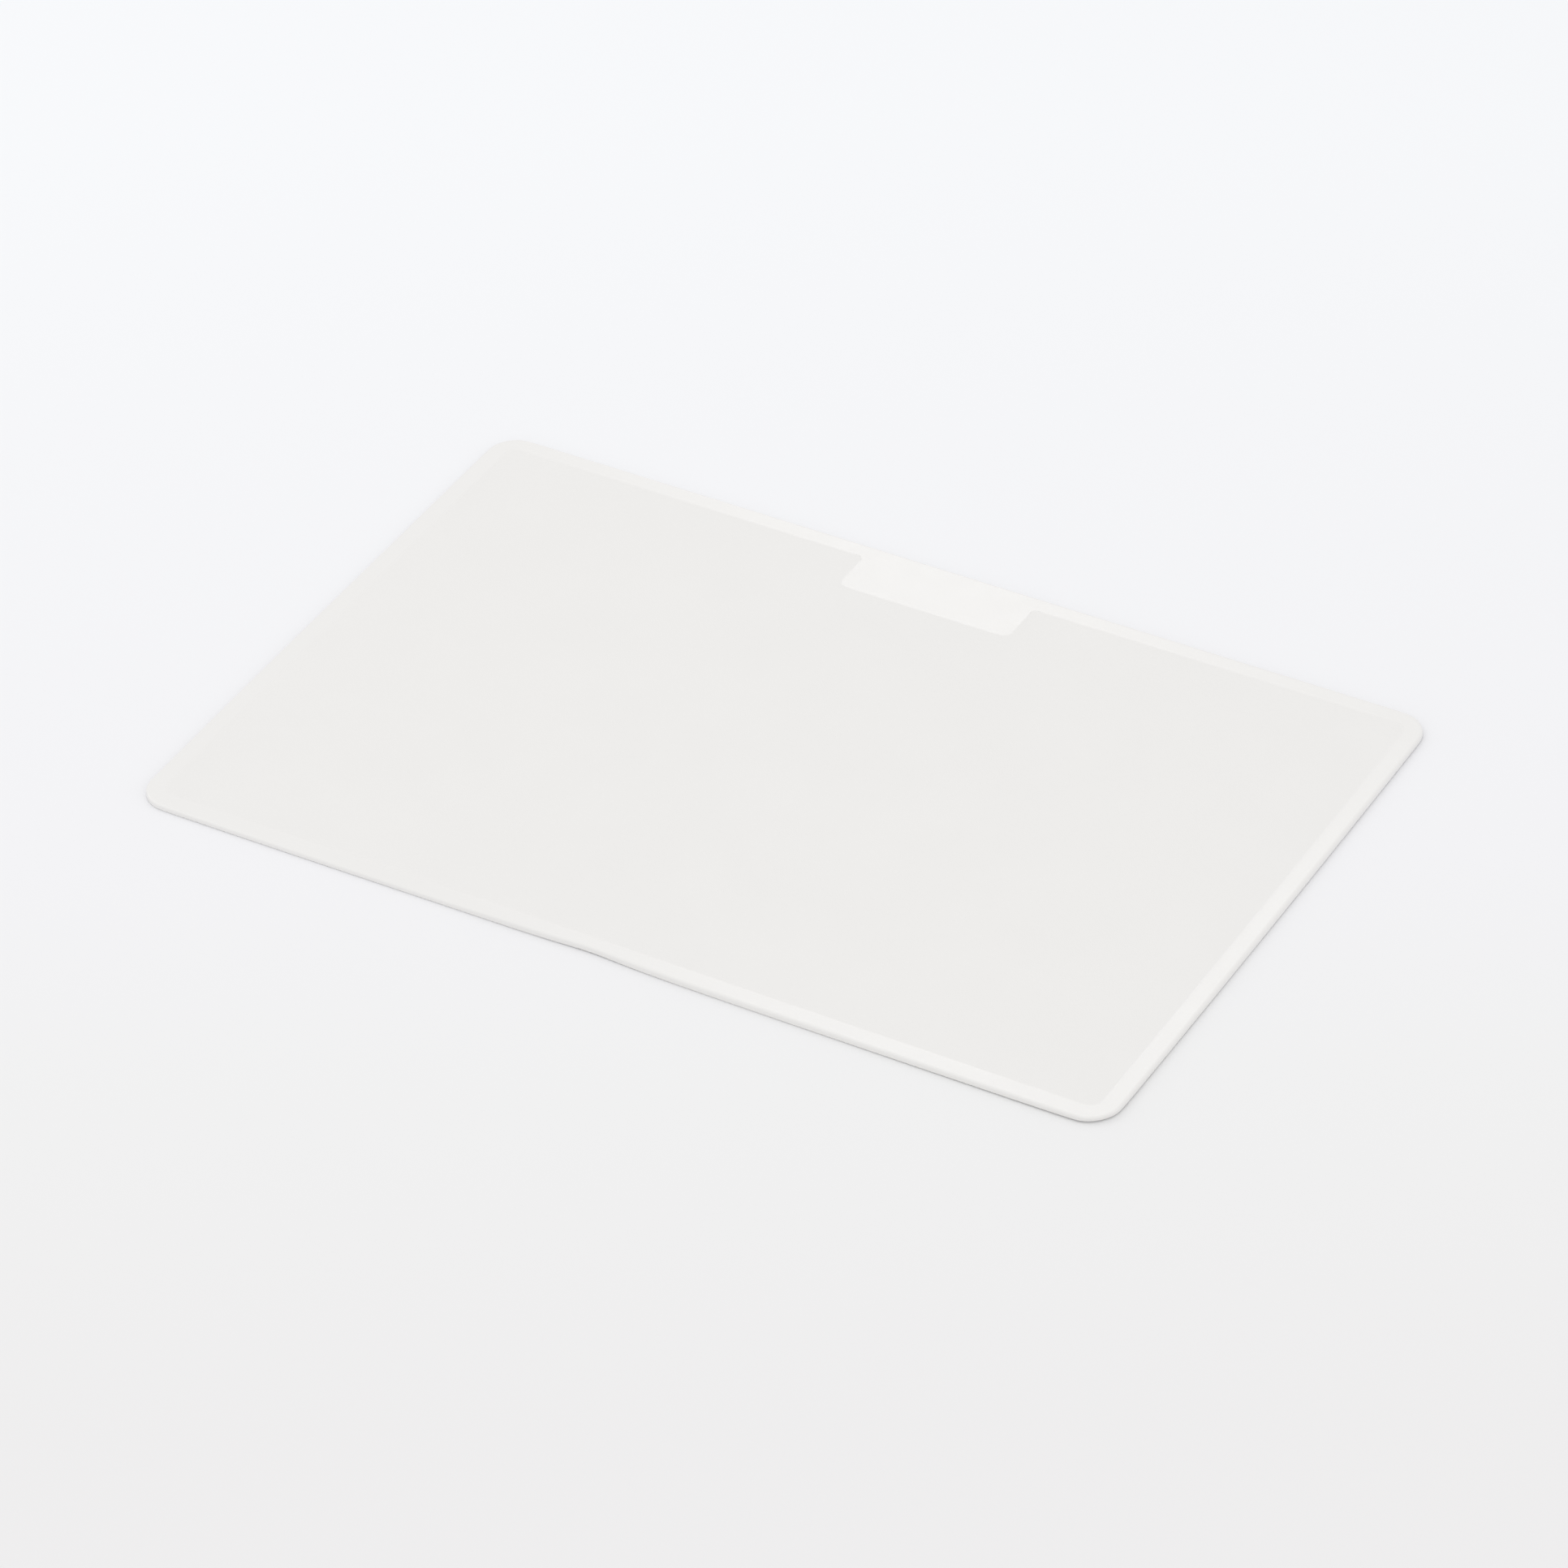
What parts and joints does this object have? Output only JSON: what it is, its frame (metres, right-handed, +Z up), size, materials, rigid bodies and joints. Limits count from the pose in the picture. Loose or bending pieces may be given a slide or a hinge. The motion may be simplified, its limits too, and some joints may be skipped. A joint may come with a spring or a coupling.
{
  "type": "flexible cutting mat",
  "caption": "Thin soft kitchen cutting mat with rounded corners, a matt panel in a smooth margin and a bare label pad. It curls up along both long edges to pour.",
  "frame": {"origin": "centre of the underside, on the surface that the mat lies on", "axes": "+X along the long edges, +Y from the front edge to the back edge with the label pad, +Z up out of the cutting face"},
  "size_m": [0.33, 0.22, 0.002],
  "materials": {
    "cutting_panel": "matt off-white soft plastic with a very fine moulded grain",
    "smooth_margin": "smooth satin off-white soft plastic",
    "label_pad": "smooth satin off-white soft plastic, bare"
  },
  "bodies": {
    "centre_strip": {"panel_centre": "cutting_panel", "margin_left_centre": "smooth_margin", "margin_right_centre": "smooth_margin"},
    "front_1_strip": {"panel_front_1": "cutting_panel", "margin_left_front_1": "smooth_margin", "margin_right_front_1": "smooth_margin"},
    "front_2_strip": {"panel_front_2": "cutting_panel", "margin_left_front_2": "smooth_margin", "margin_right_front_2": "smooth_margin"},
    "front_3_strip": {"panel_front_3": "cutting_panel", "margin_left_front_3": "smooth_margin", "margin_right_front_3": "smooth_margin"},
    "front_4_strip": {"panel_front_4": "cutting_panel", "margin_left_front_4": "smooth_margin", "margin_right_front_4": "smooth_margin"},
    "front_5_strip": {"panel_front_5": "cutting_panel", "margin_front": "smooth_margin"},
    "back_1_strip": {"panel_back_1": "cutting_panel", "margin_left_back_1": "smooth_margin", "margin_right_back_1": "smooth_margin"},
    "back_2_strip": {"panel_back_2": "cutting_panel", "margin_left_back_2": "smooth_margin", "margin_right_back_2": "smooth_margin"},
    "back_3_strip": {"panel_back_3": "cutting_panel", "margin_left_back_3": "smooth_margin", "margin_right_back_3": "smooth_margin"},
    "back_4_strip": {"panel_back_4": "cutting_panel", "margin_left_back_4": "smooth_margin", "margin_right_back_4": "smooth_margin"},
    "back_5_strip": {"panel_back_5": "cutting_panel", "margin_back": "smooth_margin", "label_pad": "label_pad"}
  },
  "joints": [
    {"name": "front_curl_1", "type": "hinge", "parent": "centre_strip", "child": "front_1_strip", "pos_m": [0, -0.00833, 0.002], "axis": [-1, 0, 0], "range_deg": [0, 15], "stiffness_Nm_per_rad": 0.3},
    {"name": "front_curl_2", "type": "hinge", "parent": "front_1_strip", "child": "front_2_strip", "pos_m": [0, -0.025, 0.002], "axis": [-1, 0, 0], "range_deg": [0, 15], "stiffness_Nm_per_rad": 0.3},
    {"name": "front_curl_3", "type": "hinge", "parent": "front_2_strip", "child": "front_3_strip", "pos_m": [0, -0.04167, 0.002], "axis": [-1, 0, 0], "range_deg": [0, 15], "stiffness_Nm_per_rad": 0.3},
    {"name": "front_curl_4", "type": "hinge", "parent": "front_3_strip", "child": "front_4_strip", "pos_m": [0, -0.05833, 0.002], "axis": [-1, 0, 0], "range_deg": [0, 15], "stiffness_Nm_per_rad": 0.3},
    {"name": "front_curl_5", "type": "hinge", "parent": "front_4_strip", "child": "front_5_strip", "pos_m": [0, -0.075, 0.002], "axis": [-1, 0, 0], "range_deg": [0, 15], "stiffness_Nm_per_rad": 0.3},
    {"name": "back_curl_1", "type": "hinge", "parent": "centre_strip", "child": "back_1_strip", "pos_m": [0, 0.00833, 0.002], "axis": [1, 0, 0], "range_deg": [0, 15], "stiffness_Nm_per_rad": 0.3},
    {"name": "back_curl_2", "type": "hinge", "parent": "back_1_strip", "child": "back_2_strip", "pos_m": [0, 0.025, 0.002], "axis": [1, 0, 0], "range_deg": [0, 15], "stiffness_Nm_per_rad": 0.3},
    {"name": "back_curl_3", "type": "hinge", "parent": "back_2_strip", "child": "back_3_strip", "pos_m": [0, 0.04167, 0.002], "axis": [1, 0, 0], "range_deg": [0, 15], "stiffness_Nm_per_rad": 0.3},
    {"name": "back_curl_4", "type": "hinge", "parent": "back_3_strip", "child": "back_4_strip", "pos_m": [0, 0.05833, 0.002], "axis": [1, 0, 0], "range_deg": [0, 15], "stiffness_Nm_per_rad": 0.3},
    {"name": "back_curl_5", "type": "hinge", "parent": "back_4_strip", "child": "back_5_strip", "pos_m": [0, 0.075, 0.002], "axis": [1, 0, 0], "range_deg": [0, 15], "stiffness_Nm_per_rad": 0.3}
  ],
  "couplings": [
    {"joint": "front_curl_2", "follows": "front_curl_1", "ratio": 1},
    {"joint": "front_curl_3", "follows": "front_curl_1", "ratio": 1},
    {"joint": "front_curl_4", "follows": "front_curl_1", "ratio": 1},
    {"joint": "front_curl_5", "follows": "front_curl_1", "ratio": 1},
    {"joint": "back_curl_2", "follows": "back_curl_1", "ratio": 1},
    {"joint": "back_curl_3", "follows": "back_curl_1", "ratio": 1},
    {"joint": "back_curl_4", "follows": "back_curl_1", "ratio": 1},
    {"joint": "back_curl_5", "follows": "back_curl_1", "ratio": 1}
  ]
}
